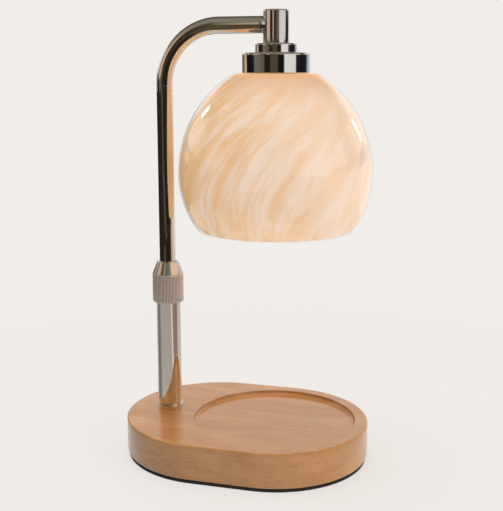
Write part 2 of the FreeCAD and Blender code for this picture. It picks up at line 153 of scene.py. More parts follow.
class ShaderGraph:
    """The node tree of one material or world, with one method that makes every node."""

    def __init__(self, tree: bpy.types.NodeTree) -> None:
        """Empties the tree and keeps it."""
        self.tree = tree
        tree.nodes.clear()

    def add(self, kind: str, settings: Optional[dict[str, Any]] = None,
            inputs: Optional[dict[Any, Any]] = None, output: int | str = 0) -> Signal:
        """Makes a node.

        Args:
            kind: The node's type.
            settings: Attributes to set first; "stops" fills a colour ramp.
            inputs: Values or signals by socket index or name.
            output: Which output the returned signal stands for.

        Returns:
            The chosen output as a signal.
        """
        node = self.tree.nodes.new(kind)
        for name, value in (settings or {}).items():
            if name == "stops":
                self._fill_ramp(node.color_ramp, value)
            else:
                setattr(node, name, value)
        for key, value in (inputs or {}).items():
            if isinstance(value, Signal):
                self.tree.links.new(value.socket, node.inputs[key])
            elif isinstance(value, tuple) and len(value) == 3 and node.inputs[key].type == "RGBA":
                node.inputs[key].default_value = (*value, 1.0)
            else:
                node.inputs[key].default_value = value
        return Signal(self, node.outputs[output]) if node.outputs else Signal(self, None)

    @staticmethod
    def _fill_ramp(ramp: bpy.types.ColorRamp, stops: Sequence[tuple[float, Colour]]) -> None:
        """Writes a ramp's stops.

        Args:
            ramp: The ramp to write.
            stops: Places from 0 to 1, each with its colour.
        """
        while len(ramp.elements) > 1:
            ramp.elements.remove(ramp.elements[-1])
        for index, (place, colour) in enumerate(stops):
            element = ramp.elements[0] if index == 0 else ramp.elements.new(place)
            element.position = place
            element.color = (*colour, 1.0)

    def place(self) -> Signal:
        """The point of the surface in the piece's own metres."""
        return self.add("ShaderNodeTexCoord", output="Object")

    def mix(self, factor: Any, first: Any, second: Any, blend: str = "MIX") -> Signal:
        """Blends two colours."""
        return self.add("ShaderNodeMix", {"data_type": "RGBA", "blend_type": blend, "clamp_factor": True},
                        {0: factor, 6: first, 7: second}, 2)

    def noise(self, vector: Signal, scale: float | tuple[float, float, float], detail: float = 4.0,
              rough: float = 0.55) -> Signal:
        """Makes fractal noise.

        Args:
            vector: Where the noise is read.
            scale: How fine it is, the same every way or by axis.
            detail: How many finer layers it has.
            rough: How strong the finer layers are.

        Returns:
            Noise from 0 to 1.
        """
        if isinstance(scale, tuple):
            vector = self.add("ShaderNodeVectorMath", {"operation": "MULTIPLY"}, {0: vector, 1: scale})
            scale = 1.0
        return self.add("ShaderNodeTexNoise", inputs={"Vector": vector, "Scale": scale, "Detail": detail,
                                                      "Roughness": rough})

    def split(self, vector: Signal) -> tuple[Signal, Signal, Signal]:
        """The X, Y and Z parts of a vector."""
        outputs = self.add("ShaderNodeSeparateXYZ", inputs={0: vector}).socket.node.outputs
        return tuple(Signal(self, output) for output in outputs)

    def bump(self, height: Signal, strength: float, depth_mm: float) -> Signal:
        """A bumped normal, its depth in millimetres."""
        return self.add("ShaderNodeBump", inputs={"Strength": strength, "Distance": depth_mm * MM,
                                                  "Height": height})

    def surface(self, shader: Signal) -> None:
        """Connects the finished shader."""
        self.add("ShaderNodeOutputMaterial", inputs={0: shader})

    def principled(self, **inputs: Any) -> Signal:
        """The main shader, with underscores in names read as spaces."""
        named = {name.replace("_", " "): value for name, value in inputs.items()}
        return self.add("ShaderNodeBsdfPrincipled", inputs=named)

    def glowing(self, colour: Any) -> Signal:
        """A surface that shines in a colour at strength 1 and reflects nothing."""
        return self.principled(Base_Color=BLACK, Emission_Color=colour, Emission_Strength=1.0,
                               Roughness=1.0, Specular_IOR_Level=0.0)

    def clear(self, tint: Colour) -> Signal:
        """A surface that lets light through, tinted."""
        return self.add("ShaderNodeBsdfTransparent", inputs={0: tint})

    def either(self, factor: Any, first: Signal, second: Signal) -> Signal:
        """Mixes two shaders."""
        return self.add("ShaderNodeMixShader", inputs={0: factor, 1: first, 2: second})


@dataclass(frozen=True)
class Finish:
    """A surface finish, made into a material once and shared."""

    made: ClassVar[dict["Finish", bpy.types.Material]] = {}
    name: str

    def material(self) -> bpy.types.Material:
        """Makes this finish's material on first use and keeps it.

        Returns:
            The material.
        """
        if self not in self.made:
            self.made[self] = bpy.data.materials.new(self.name)
            self.made[self].use_nodes = True
            self.paint(ShaderGraph(self.made[self].node_tree))
        return self.made[self]

    def paint(self, graph: ShaderGraph) -> None:
        """Fills the node tree."""
        raise NotImplementedError


@dataclass(frozen=True)
class PolishedNickel(Finish):
    """Bright plated metal with faint handling marks and polishing haze."""

    tint: Colour = srgb(233, 228, 221)
    gloss: float = 0.05
    haze: float = 0.07

    def paint(self, graph: ShaderGraph) -> None:
        """Mottles the tint and the roughness, with hairlines along the height.

        Args:
            graph: The node tree.
        """
        place = graph.place()
        smudge = graph.noise(place, 55.0, 5.0, 0.6).ramp(0.5, 0.78)
        hair = graph.noise(place, (900.0, 900.0, 60.0), 2.0, 0.6)
        worn = graph.noise(place, 16.0, 3.0)
        graph.surface(graph.principled(
            Base_Color=graph.mix(worn.ramp(0.35, 0.75), self.tint, shaded(self.tint, 0.86)),
            Metallic=1.0,
            Roughness=smudge * self.haze + self.gloss,
            Normal=graph.bump(hair, 0.12, 0.01)))


@dataclass(frozen=True)
class RibbedNickel(Finish):
    """Satin plated grip, with painted shade darkening the foot of each groove."""

    axis_x: float = -0.0545
    ribs: int = 64
    bright: Colour = srgb(246, 236, 226)
    # painted shade: the colour at the foot of each groove
    groove: Colour = srgb(150, 138, 128)

    def paint(self, graph: ShaderGraph) -> None:
        """Paints shade into the foot of each groove round the axis, mottled by noise.

        Args:
            graph: The node tree.
        """
        x, y, _ = graph.split(graph.place())
        angle = y.apply("ARCTAN2", x - self.axis_x)
        wave = (angle * self.ribs).apply("COSINE") * -0.5 + 0.5
        worn = graph.noise(graph.place(), 140.0, 4.0, 0.6)
        # the groove mask paints shade at the foot of each groove, mottled by noise
        graph.surface(graph.principled(
            Base_Color=graph.mix((wave * 0.8 + worn * 0.4).ramp(0.3, 1.05) * 0.8, self.bright, self.groove),
            Metallic=0.62, Roughness=worn * 0.15 + 0.3))


@dataclass(frozen=True)
class PlainMetal(Finish):
    """Plated steel hardware with a fine satin grain."""

    tint: Colour = srgb(188, 188, 190)
    roughness: float = 0.32

    def paint(self, graph: ShaderGraph) -> None:
        """Grains the roughness and darkens it in patches.

        Args:
            graph: The node tree.
        """
        place = graph.place()
        grain = graph.noise(place, 900.0, 3.0, 0.6)
        patch = graph.noise(place, 90.0, 4.0, 0.6)
        graph.surface(graph.principled(
            Base_Color=graph.mix(patch.ramp(0.35, 0.75), self.tint, shaded(self.tint, 0.7)),
            Metallic=1.0, Roughness=grain * 0.16 + self.roughness,
            Normal=graph.bump(grain, 0.2, 0.02)))


@dataclass(frozen=True)
class OiledBeech(Finish):
    """Close-grained pale wood with level figure, pores and a thin oil sheen."""

    pale: Colour = srgb(218, 159, 98)
    warm: Colour = srgb(199, 136, 76)
    dark: Colour = srgb(156, 98, 50)

    def paint(self, graph: ShaderGraph) -> None:
        """Draws growth bands along the base, fine pores and rays.

        Args:
            graph: The node tree.
        """
        place = graph.place()
        sway = graph.noise(place, (5.0, 14.0, 14.0), 3.0, 0.5)
        x, y, z = graph.split(place)
        bands = graph.add("ShaderNodeCombineXYZ", inputs={
            0: x * 2.0, 1: y * 34.0 + sway * 5.0, 2: z * 90.0 + sway * 7.0})
        growth = graph.noise(bands, 1.0, 4.0, 0.62)
        fibre = graph.noise(place, (30.0, 620.0, 760.0), 4.0, 0.65)
        pores = graph.noise(place, (90.0, 1300.0, 1300.0), 2.0, 0.5).ramp(0.62, 0.74)
        patch = graph.noise(place, 11.0, 3.0, 0.5)
        colour = graph.mix(growth.ramp(0.3, 0.72), self.pale, self.warm)
        colour = graph.mix(fibre.ramp(0.45, 0.8) * 0.45, colour, self.dark)
        colour = graph.mix(pores * 0.55, colour, shaded(self.dark, 0.6))
        colour = graph.mix(patch.ramp(0.4, 0.75) * 0.3, colour, self.warm)
        graph.surface(graph.principled(
            Base_Color=colour, Roughness=fibre * 0.18 + 0.36, Coat_Weight=0.85, Coat_Roughness=0.15,
            Normal=graph.bump(fibre * 0.6 - pores, 0.25, 0.12)))


@dataclass(frozen=True)
class FoamRubber(Finish):
    """Matte black rubber or closed foam."""

    tint: Colour = srgb(34, 31, 30)
    cell: float = 1400.0

    def paint(self, graph: ShaderGraph) -> None:
        """Stipples the surface with small cells.

        Args:
            graph: The node tree.
        """
        place = graph.place()
        cells = graph.add("ShaderNodeTexVoronoi", inputs={"Vector": place, "Scale": self.cell})
        dust = graph.noise(place, 60.0, 4.0)
        graph.surface(graph.principled(
            Base_Color=graph.mix(dust.ramp(0.45, 0.8) * 0.5, self.tint, shaded(self.tint, 2.2, 0.01)),
            Roughness=dust * 0.15 + 0.72, Normal=graph.bump(cells, 0.4, 0.08)))


@dataclass(frozen=True)
class Moulded(Finish):
    """Smooth moulded plastic or glazed ceramic."""

    tint: Colour = srgb(232, 229, 220)
    roughness: float = 0.35
    glaze: float = 0.0

    def paint(self, graph: ShaderGraph) -> None:
        """Adds faint shade variation and a fine mould texture.

        Args:
            graph: The node tree.
        """
        place = graph.place()
        cloud = graph.noise(place, 45.0, 4.0)
        fine = graph.noise(place, 1500.0, 2.0)
        graph.surface(graph.principled(
            Base_Color=graph.mix(cloud.ramp(0.35, 0.7) * 0.5, self.tint, shaded(self.tint, 0.86)),
            Roughness=fine * 0.12 + self.roughness, Coat_Weight=self.glaze, Coat_Roughness=0.08,
            Normal=graph.bump(fine, 0.15, 0.02)))


@dataclass(frozen=True)
class Weave:
    """How one field of streaks is combed round the globe."""

    round_count: float
    rise_count: float
    detail: float
    rough: float
    shift: float


@dataclass(frozen=True)
class MarbledGlass(Finish):
    """Milky glass with combed cream, peach and honey streaks, lit from inside."""

    axis_x: float = 0.0193
    middle: float = 0.195
    twist_from: float = 0.150
    twist: tuple[float, float] = (-2.5, -105.0)
    wander: float = 0.4
    drifts: Weave = Weave(8.0, 22.0, 3.0, 0.5, 0.0)
    streaks: Weave = Weave(24.0, 26.0, 4.0, 0.6, 7.0)
    threads: Weave = Weave(62.0, 30.0, 3.0, 0.6, 3.0)
    cream: Colour = srgb(241, 221, 203)
    peach: Colour = srgb(240, 208, 176)
    honey: Colour = srgb(235, 186, 130)
    crown: Colour = srgb(228, 178, 134)
    glow: float = 0.82
    body: float = 0.34

    def combed(self, graph: ShaderGraph) -> tuple[Signal, Signal, Signal, Signal]:
        """Combs streak fields that twist round the globe as they rise.

        Args:
            graph: The node tree.

        Returns:
            Broad drifts, fine streaks, silk threads and soft clouds.
        """
        x, y, z = graph.split(graph.place())
        across = x - self.axis_x
        lift = (z - self.twist_from).apply("MAXIMUM", 0.0)
        angle = y.apply("ARCTAN2", across) + lift * self.twist[0] + lift * lift * self.twist[1]
        cloud = graph.noise(graph.place(), (22.0, 22.0, 16.0), 3.0, 0.55)
        angle = angle + (cloud - 0.5) * self.wander
        level = (across * across + y * y) ** 0.5 * 10.0 + 0.35

        def wound(weave: Weave) -> Signal:
            """Winds one noise field round the globe."""
            point = graph.add("ShaderNodeCombineXYZ", inputs={
                0: angle.apply("COSINE") * level * weave.round_count + weave.shift,
                1: angle.apply("SINE") * level * weave.round_count, 2: z * weave.rise_count})
            return graph.noise(point, 1.0, weave.detail, weave.rough)

        return wound(self.drifts), wound(self.streaks), wound(self.threads), cloud

    def paint(self, graph: ShaderGraph) -> None:
        """Colours the streaks, richer low and to the left, and lets the same colour glow.

        Args:
            graph: The node tree.
        """
        broad, fine, silk, cloud = self.combed(graph)
        x, y, z = graph.split(graph.place())
        low = (self.middle - z).apply("MAXIMUM", 0.0)
        lean = (x - self.axis_x) * -2.2 + y * 0.7 + low * 1.9
        colour = graph.mix((broad * 0.6 + fine * 0.4).ramp(0.34, 0.6), self.cream, self.peach)
        drift = broad * 0.45 + cloud * 0.3 + fine * 0.25 + lean
        colour = graph.mix(drift.ramp(0.42, 0.65) * 0.9, colour, self.honey)
        colour = graph.mix((fine * 0.55 + silk * 0.45).ramp(0.5, 0.68) * 0.5, colour, self.cream)
        colour = graph.mix((fine * 0.45 + silk * 0.55).ramp(0.5, 0.34) * 0.28, colour, self.honey)
        colour = graph.mix(z.ramp(0.230, 0.251) * 0.8, colour, self.crown)
        graph.surface(graph.principled(
            Base_Color=graph.mix(1.0, colour, (self.body,) * 3, "MULTIPLY"),
            Emission_Color=colour, Emission_Strength=self.glow, Roughness=fine * 0.1 + 0.25))


@dataclass(frozen=True)
class ClearCasing(Finish):
    """The thin clear gather of glass over the marbled layer."""

    tint: Colour = (0.975, 0.97, 0.965)
    crown_tint: Colour = (0.97, 0.93, 0.88)
    rim_tint: Colour = (0.87, 0.86, 0.85)
    crown_from: float = 0.2465
    crown_to: float = 0.2492
    mirror_face_on: float = 0.045
    mirror_edge_on: float = 0.55

    def paint(self, graph: ShaderGraph) -> None:
        """Mixes clear and reflecting by how squarely the surface is seen, and calms it under the cap.

        Args:
            graph: The node tree.
        """
        ripple = graph.noise(graph.place(), 26.0, 2.0)
        normal = graph.bump(ripple, 0.25, 0.35)
        facing = graph.add("ShaderNodeLayerWeight", inputs={"Blend": 0.5, "Normal": normal}, output="Facing")
        outside = 1.0 - graph.add("ShaderNodeNewGeometry", output="Backfacing")
        _, _, height = graph.split(graph.place())
        crown = height.ramp(self.crown_from, self.crown_to)
        wall = graph.either(crown, graph.clear(self.tint), graph.clear(self.crown_tint))
        wall = graph.either(facing.ramp(0.86, 1.0) * (1.0 - crown), wall, graph.clear(self.rim_tint))
        gloss = graph.add("ShaderNodeBsdfGlossy", inputs={
            "Color": WHITE, "Roughness": 0.05, "Normal": normal})
        mirror = (facing ** 3.0 * self.mirror_edge_on + self.mirror_face_on) * outside * (1.0 - crown)
        graph.surface(graph.either(mirror, wall, gloss))


@dataclass(frozen=True)
class LampGlass(Finish):
    """Clear or frosted bulb glass, warm where it is lit."""

    tint: Colour = (1.0, 0.93, 0.80)
    alpha: float = 0.55
    glow: float = 1.6

    def paint(self, graph: ShaderGraph) -> None:
        """Faint prism ripples, glowing.

        Args:
            graph: The node tree.
        """
        cells = graph.add("ShaderNodeTexVoronoi", inputs={"Vector": graph.place(), "Scale": 260.0})
        warm = graph.mix(cells.ramp(0.0, 0.8), self.tint, (1.0, 0.80, 0.55))
        graph.surface(graph.principled(
            Base_Color=warm, Emission_Color=warm, Emission_Strength=self.glow, Roughness=0.15,
            Alpha=self.alpha, Normal=graph.bump(cells, 0.3, 0.3)))


class Shape:
    """Mesh builders shared by the sub-assemblies."""

    @staticmethod
    def rounded(corners: Profile, radii: dict[int, float], steps: int = 6) -> Profile:
        """Rounds chosen corners of a profile.

        Args:
            corners: Points as (radius, height) in millimetres.
            radii: Rounding radius by corner index.
            steps: Segments in each rounding.

        Returns:
            The profile with arcs in place of those corners.
        """
        made: Profile = []
        for index, corner in enumerate(corners):
            radius = radii.get(index)
            if not radius:
                made.append(corner)
                continue
            here = Vector(corner)
            before = (Vector(corners[index - 1]) - here).normalized()
            after = (Vector(corners[(index + 1) % len(corners)]) - here).normalized()
            half = before.angle(after) / 2
            reach = radius / tan(half)
            centre = here + (before + after).normalized() * (radius / sin(half))
            start, end = here + before * reach - centre, here + after * reach - centre
            sweep = start.angle_signed(end)
            made += Shape._support(here, corners[index - 1], reach)
            for step in range(steps + 1):
                turned = start.copy()
                turned.rotate(Matrix.Rotation(-sweep * step / steps, 2))
                made.append(tuple(centre + turned))
            made += Shape._support(here, corners[(index + 1) % len(corners)], reach)
        return made

    @staticmethod
    def _support(corner: Vector, beyond: tuple[float, float], reach: float, margin: float = 0.12) -> Profile:
        """Finds a point just past a rounding that keeps the flat beside it shading flat.

        Args:
            corner: The rounded corner.
            beyond: The next corner along the flat.
            reach: How far the rounding reaches from the corner.
            margin: How far past the rounding the point lies.

        Returns:
            The point alone in a list, or an empty list where the flat is too short.
        """
        edge = Vector(beyond) - corner
        if edge.length <= reach + 4 * margin:
            return []
        return [tuple(corner + edge.normalized() * (reach + margin))]

    @staticmethod
    def turned(profile: Profile, x: float = 0.0, steps: int = 128, closed: bool = True) -> bpy.types.Mesh:
        """Turns a profile round an upright axis.

        Args:
            profile: Points as (radius, height) in millimetres.
            x: The axis's place along X, in millimetres.
            steps: Segments round the axis.
            closed: Whether the last point joins the first.

        Returns:
            A mesh in metres.
        """
        rings = []
        mesh_data = bmesh.new()
        for radius, height in profile:
            if radius < 1e-6:
                rings.append([mesh_data.verts.new((x * MM, 0.0, height * MM))] * steps)
                continue
            rings.append([mesh_data.verts.new(((x + radius * cos(a)) * MM, radius * sin(a) * MM,
                                               height * MM))
                          for a in (tau * k / steps for k in range(steps))])
        Shape.skin(mesh_data, rings + rings[:1] if closed else rings)
        return Shape.finished(mesh_data)

    @staticmethod
    def skin(mesh_data: bmesh.types.BMesh, rings: Sequence[Sequence[bmesh.types.BMVert]]) -> None:
        """Fills the bands between neighbouring rings, with triangles where a ring is a single point.

        Args:
            mesh_data: The bmesh to fill.
            rings: Rings with the same count of corners.
        """
        for lower, upper in zip(rings, rings[1:]):
            for k in range(len(lower)):
                after = (k + 1) % len(lower)
                corners = list(dict.fromkeys((lower[k], lower[after], upper[after], upper[k])))
                if len(corners) > 2:
                    mesh_data.faces.new(corners)

    @staticmethod
    def swept(points: Sequence[Vector], radius: float, steps: int) -> bpy.types.Mesh:
        """Sweeps a round section along a line in the XZ plane.

        Args:
            points: The line, in millimetres.
            radius: The section's radius, in millimetres.
            steps: Segments round the section.

        Returns:
            A closed mesh in metres.
        """
        mesh_data = bmesh.new()
        rings = []
        for index, point in enumerate(points):
            ahead = points[min(index + 1, len(points) - 1)] - points[max(index - 1, 0)]
            ahead.normalize()
            side = Vector((0, 1, 0))
            lift = ahead.cross(side)
            outward = [side * cos(a) + lift * sin(a)
                       for a in (tau * k / steps for k in range(steps))]
            rings.append([mesh_data.verts.new((point + way * radius) * MM) for way in outward])
        Shape.skin(mesh_data, rings)
        mesh_data.faces.new(rings[0])
        mesh_data.faces.new(reversed(rings[-1]))
        return Shape.finished(mesh_data)

    @staticmethod
    def finished(mesh_data: bmesh.types.BMesh, sharp: float = 38.0) -> bpy.types.Mesh:
        """Turns a bmesh into a smooth-shaded mesh with crisp corners.

        Args:
            mesh_data: The bmesh, which is freed.
            sharp: The angle in degrees from which an edge stays crisp.

        Returns:
            The mesh.
        """
        bmesh.ops.recalc_face_normals(mesh_data, faces=mesh_data.faces)
        mesh = bpy.data.meshes.new("form")
        mesh_data.to_mesh(mesh)
        mesh_data.free()
        mesh.shade_smooth()
        mesh.set_sharp_from_angle(angle=radians(sharp))
        return mesh


@dataclass
class Assembly:
    """A group of pieces that are built together."""

    body: Body

    def piece(self, name: str, mesh: bpy.types.Mesh, finish: Finish, *stands_for: str,
              slot: Slot = Slot.NICKEL) -> None:
        """Makes one named piece that rides on this assembly's body.

        Args:
            name: The piece's name.
            mesh: Its mesh, in metres.
            finish: Its finish.
            stands_for: CAD nodes that it replaces.
            slot: The record's slot for the piece; not used.
        """
        made = placed(name, mesh)
        made.data.materials.append(finish.material())
        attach(made, self.body.value)
        if stands_for:
            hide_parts(*stands_for)
        LOG.info("%s on %s: %d faces", name, self.body.value, len(mesh.polygons))

    def dress(self, finish: Finish, *nodes: str) -> None:
        """Gives CAD nodes a finish and smooth shading.

        Args:
            finish: The finish.
            nodes: The CAD nodes.
        """
        for node in nodes:
            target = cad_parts[node]
            target.data.materials.clear()
            target.data.materials.append(finish.material())
            target.data.shade_smooth()
            target.data.set_sharp_from_angle(angle=radians(35))
            LOG.info("%s dressed with %s", node, finish.name)


@dataclass
class WoodenBase(Assembly):
    """The round-ended wooden base with its pad, ballast and cord outlet."""

    body: Body = Body.BASE

    def build(self) -> None:
        """Dresses the base's pieces."""
        self.dress(OiledBeech("oiled_beech"), "wood_base")
        self.dress(FoamRubber("foam_pad"), "base_pad")
        self.dress(FoamRubber("outlet_rubber", srgb(24, 24, 24), 2600.0), "cord_bush")
        self.dress(PlainMetal("ballast_steel", srgb(96, 96, 98), 0.45), "ballast_plate")
        self.dress(PlainMetal("zinc"), "plate_screws", "foot_washer", "foot_nut", "foot_rod", "foot_plug")


@dataclass
class FixedPost(Assembly):
    """The lower post with its foot ring and the threaded bush and collet at its head."""

    body: Body = Body.BASE
    x: float = -54.5
    radius: float = 8.0
    wall: float = 1.0
    ring_radius: float = 8.5
    ring_slip: float = 0.05
    groove: float = 0.3

    def build(self) -> None:
        """Turns the post and its foot ring, and dresses the clamp's inner pieces."""
        nickel = PolishedNickel("polished_nickel")
        low, high = (c.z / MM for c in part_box("post_tube"))
        tube = Shape.rounded([(self.radius, low), (self.radius, high), (self.radius - self.wall, high),
                              (self.radius - self.wall, low)], {1: 0.2, 2: 0.2}, 3)
        self.piece("fixed_post", Shape.turned(tube, self.x), nickel, "post_tube")
        low, high = (c.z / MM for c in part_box("foot_ring"))
        inner = self.radius + self.ring_slip
        mid = high - 3 * self.groove
        ring = Shape.rounded([(inner, low), (self.ring_radius, low), (self.ring_radius, mid - self.groove),
                              (self.ring_radius - self.groove, mid), (self.ring_radius, mid + self.groove),
                              (self.ring_radius, high), (inner, high)], {1: 0.2, 5: 0.35, 3: 0.08}, 4)
        self.piece("post_foot_ring", Shape.turned(ring, self.x), nickel, "foot_ring")
        self.dress(PlainMetal("zinc"), "clamp_body")
        self.dress(Moulded("natural_nylon", srgb(226, 222, 208), 0.42), "clamp_collet")


@dataclass
class ClampNut(Assembly):
    """The knurled nut that grips the arm: a ribbed band under a bright cone."""

    body: Body = Body.NUT
    x: float = -54.5
    radius: float = 10.3
    depth: float = 0.45
    ribs: int = 64
    band_height: float = 19.0
    top_radius: float = 6.9
    bore: float = 5.55
    core: float = 8.15
    rib_steps: int = 8
    rib_shape: float = 1.6

    def band(self, low: float) -> bpy.types.Mesh:
        """Makes the gripping band, with rounded ribs that run out at both ends.

        Args:
            low: The height of its lower end, in millimetres.

        Returns:
            The band's mesh.
        """
        steps = self.ribs * self.rib_steps
        top = self.band_height
        rows = [(0.0, -1.3, 0.0), (0.1, -0.8, 0.0), (0.35, -0.4, 0.0), (0.75, -0.1, 0.2), (1.2, 0.0, 0.6),
                (1.7, 0.0, 1.0), (1.9, 0.0, 1.0), (top - 1.2, 0.0, 1.0), (top - 1.0, 0.0, 1.0),
                (top - 0.5, 0.0, 0.4), (top - 0.15, -0.1, 0.0), (top, -0.25, 0.0)]
        turns = [tau * k / steps for k in range(steps)]
        waves = [0.5 - 0.5 * cos(tau * k / self.rib_steps) for k in range(steps)]
        mesh_data = bmesh.new()

        def point(radius: float, turn: float, height: float) -> bmesh.types.BMVert:
            """A corner at a radius and bearing round the nut's axis."""
            return mesh_data.verts.new(((self.x + radius * cos(turn)) * MM, radius * sin(turn) * MM,
                                        height * MM))

        rings = [[point(self.radius + inset - self.depth * ribbing * wave ** self.rib_shape, turn, low + rise)
                  for turn, wave in zip(turns, waves)] for rise, inset, ribbing in rows]
        inner = [point(self.core, turn, low) for turn in turns]
        Shape.skin(mesh_data, [inner] + rings)
        mesh_data.faces.new(list(reversed(rings[-1])))
        return Shape.finished(mesh_data, 60.0)

    def build(self) -> None:
        """Makes the band and the cone above it."""
        low, high = (c.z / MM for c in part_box("clamp_nut"))
        self.piece("knurled_band", self.band(low), RibbedNickel("knurled_nickel"), "clamp_nut",
                   slot=Slot.KNURLED_NICKEL)
        start = low + self.band_height - 0.1
        cone = Shape.rounded([(self.bore, start), (self.radius - 0.4, start),
                              (self.radius - 0.25, start + 0.5), (self.top_radius, high), (self.bore, high)],
                             {2: 0.4, 3: 0.4, 4: 0.2}, 4)
        self.piece("nut_cone", Shape.turned(cone, self.x), PolishedNickel("polished_nickel"))


@dataclass
class SwingArm(Assembly):
    """The bent arm tube with its end ring and lead."""

    body: Body = Body.ARM
    post_x: float = -54.5
    radius: float = 5.25
    bend: float = 37.0
    level: float = 279.8
    bend_steps: int = 48
    end_gap: float = 0.2

    def centreline(self) -> list[Vector]:
        """Runs up the post's axis, round the bend and along to the head.

        Returns:
            Points in millimetres.
        """
        low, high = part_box("arm_tube")
        tail, reach = low.z / MM, high.x / MM - self.end_gap
        bend_z = self.level - self.bend
        points = [Vector((self.post_x, 0, tail + (bend_z - tail) * k / 6)) for k in range(6)]
        for k in range(self.bend_steps + 1):
            angle = pi / 2 * k / self.bend_steps
            points.append(Vector((self.post_x + self.bend * (1 - cos(angle)), 0,
                                  bend_z + self.bend * sin(angle))))
        start = self.post_x + self.bend
        points += [Vector((start + (reach - start) * k / 4, 0, self.level)) for k in range(1, 5)]
        return points

    def build(self) -> None:
        """Sweeps the tube and dresses what is inside it."""
        self.piece("bent_arm", Shape.swept(self.centreline(), self.radius, 96),
                   PolishedNickel("polished_nickel"), "arm_tube")
        self.dress(PlainMetal("zinc"), "tube_end_ring")
        self.dress(Moulded("lead_silicone", srgb(214, 208, 192), 0.5), "arm_lead")


@dataclass
class GuideBush(Assembly):
    """The nylon bush that steadies the arm inside the post."""

    body: Body = Body.GUIDE

    def build(self) -> None:
        """Dresses the bush."""
        self.dress(Moulded("natural_nylon", srgb(226, 222, 208), 0.42), "guide_bush")


@dataclass
class LampHead(Assembly):
    """The turned head: tee, stepped neck, cap and the lampholder inside the glass."""

    body: Body = Body.ARM
    x: float = 19.3
    tee_radius: float = 8.0
    neck_radius: float = 12.9
    cap_radius: float = 21.0
    cap_wall: float = 1.2
    arm_level: float = 279.8
    arm_radius: float = 5.25
    flare_reach: float = 1.1
    flare_length: float = 2.4
    flare_sunk: float = 1.0
    rod_bore: float = 5.2

    def tee(self) -> bpy.types.Mesh:
        """Turns the closed head cylinder with its softly rounded crown.

        Returns:
            The cylinder's mesh.
        """
        low, high = (c.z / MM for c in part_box("head_tee"))
        profile = Shape.rounded([(0, high), (self.tee_radius, high), (self.tee_radius, low), (0, low)],
                                {1: 0.9, 2: 0.3}, 8)
        return Shape.turned(profile, self.x, 128, closed=False)

    def socket(self) -> bpy.types.Mesh:
        """Turns the brazed fillet that flares where the arm enters the head.

        Returns:
            The fillet's mesh, along the arm.
        """
        start = self.tee_radius + self.flare_length - self.flare_sunk
        flare = [(self.flare_reach * (1 - cos(turn)), -start + self.flare_length * sin(turn))
                 for turn in (pi / 2 * k / 10 for k in range(11))]
        profile = [(self.arm_radius + 0.02 + rise, along) for rise, along in flare + [(0.0, -5.0)]]
        mesh = Shape.turned(profile, 0.0, 96)
        along_arm = Matrix.Rotation(pi / 2, 4, "Y")
        mesh.transform(Matrix.Translation((self.x * MM, 0, self.arm_level * MM)) @ along_arm)
        return mesh

    def build(self) -> None:
        """Turns the visible head and dresses the holder."""
        nickel = PolishedNickel("polished_nickel")
        self.piece("head_cylinder", self.tee(), nickel, "head_tee")
        self.piece("arm_collar", self.socket(), nickel)
        low, high = (c.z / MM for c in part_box("neck_washer"))
        neck = Shape.rounded([(self.rod_bore, high), (self.neck_radius, high), (self.neck_radius, low),
                              (self.rod_bore, low)], {1: 0.9, 2: 0.3}, 6)
        self.piece("stepped_neck", Shape.turned(neck, self.x), nickel, "neck_washer")
        low, high = (c.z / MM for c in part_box("shade_cap"))
        inner = self.cap_radius - self.cap_wall
        under = high - self.cap_wall
        cap = Shape.rounded([(self.rod_bore, high), (self.cap_radius, high), (self.cap_radius, low),
                             (inner, low), (inner, under), (self.rod_bore, under)],
                            {1: 1.3, 2: 0.35, 3: 0.2}, 8)
        self.piece("glass_cap", Shape.turned(cap, self.x, 160), nickel, "shade_cap")
        self.dress(PlainMetal("zinc"), "head_rod", "cap_nut")
        self.dress(PlainMetal("holder_steel", srgb(206, 202, 192), 0.28), "holder_shell")
        self.dress(Moulded("white_ceramic", srgb(236, 233, 224), 0.3, 0.6), "holder_insert")
        self.dress(Moulded("ring_plastic", srgb(228, 225, 216), 0.4), "shade_ring")


